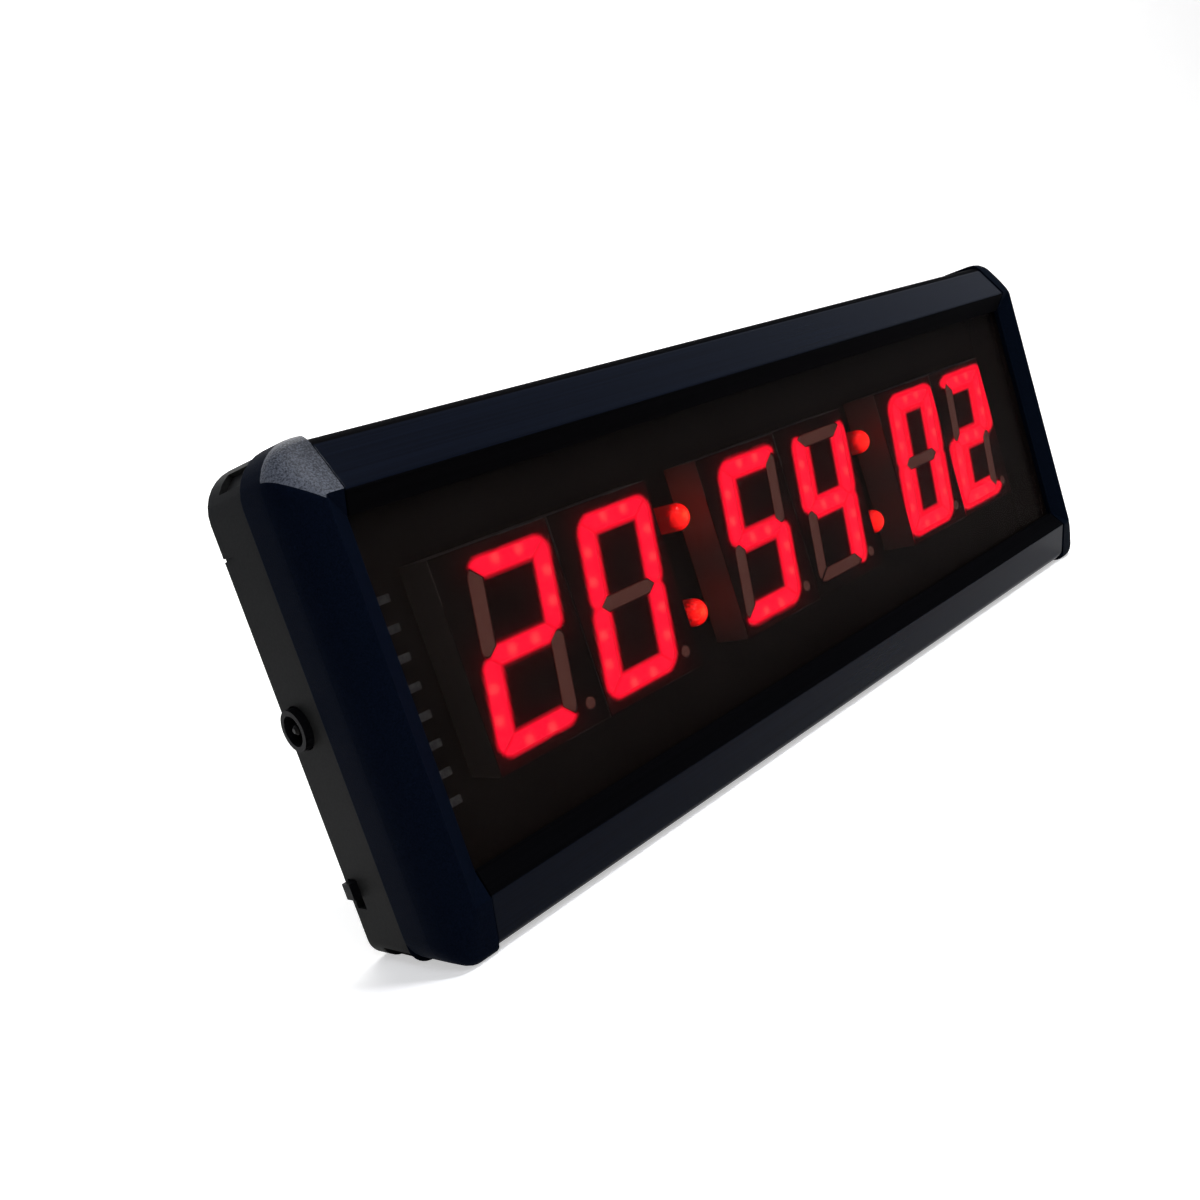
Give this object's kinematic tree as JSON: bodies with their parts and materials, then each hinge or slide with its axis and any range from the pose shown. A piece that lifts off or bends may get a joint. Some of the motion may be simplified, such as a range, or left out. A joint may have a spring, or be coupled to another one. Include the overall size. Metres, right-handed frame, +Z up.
{
  "type": "countdown timer",
  "caption": "Long bench or wall timer: a black extruded case with moulded end caps, a smoked window over bright red segment digits and colon lamps, a power inlet and a slide switch.",
  "frame": {"origin": "on the ground under the middle of the case, midway between its front and back", "axes": "+X to the right as the display is read, +Y from the display to the back, +Z up"},
  "size_m": [0.2682, 0.0328, 0.099],
  "materials": {
    "anodised_aluminium": "satin black anodised extrusion",
    "cap_plastic": "fine-textured black moulding",
    "smoked_acrylic": "polished dark smoked sheet",
    "board_laminate": "dark solder mask",
    "module_housing": "black face",
    "segment_epoxy": "translucent, lit red",
    "lamp_epoxy": "translucent, lit red",
    "resistor_ceramic": "grey chip",
    "moulded_black_plastic": "moulded",
    "chip_package": "moulded",
    "bright_metal": "plated"
  },
  "bodies": {
    "case": {"case_extrusion": "anodised_aluminium", "left_end_cap": "cap_plastic", "right_end_cap": "cap_plastic", "window_pane": "smoked_acrylic", "display_board": "board_laminate", "digit_module_1": "module_housing", "digit_module_2": "module_housing", "digit_module_3": "module_housing", "digit_module_4": "module_housing", "digit_module_5": "module_housing", "digit_module_6": "module_housing", "digit_light_1": "segment_epoxy", "digit_light_2": "segment_epoxy", "digit_light_3": "segment_epoxy", "digit_light_4": "segment_epoxy", "digit_light_5": "segment_epoxy", "digit_light_6": "segment_epoxy", "colon_lamp_left_upper": "lamp_epoxy", "colon_lamp_left_lower": "lamp_epoxy", "colon_lamp_right_upper": "lamp_epoxy", "colon_lamp_right_lower": "lamp_epoxy", "segment_resistor_1": "resistor_ceramic", "segment_resistor_2": "resistor_ceramic", "segment_resistor_3": "resistor_ceramic", "segment_resistor_4": "resistor_ceramic", "segment_resistor_5": "resistor_ceramic", "segment_resistor_6": "resistor_ceramic", "segment_resistor_7": "resistor_ceramic", "segment_resistor_8": "resistor_ceramic", "infrared_receiver": "moulded_black_plastic", "controller_chip": "chip_package", "digit_driver_left": "chip_package", "digit_driver_right": "chip_package", "timing_crystal": "bright_metal", "voltage_regulator": "chip_package", "filter_capacitor": "bright_metal", "buzzer": "moulded_black_plastic", "dc_jack": "moulded_black_plastic", "dc_jack_pin": "bright_metal", "power_switch_body": "bright_metal"},
    "switch_knob": {"power_switch_knob": "moulded_black_plastic"}
  },
  "joints": [
    {"name": "power_switch_slide", "type": "slide", "parent": "case", "child": "switch_knob", "axis": [0, 0, -1], "range_m": [0, 0.0024]}
  ]
}
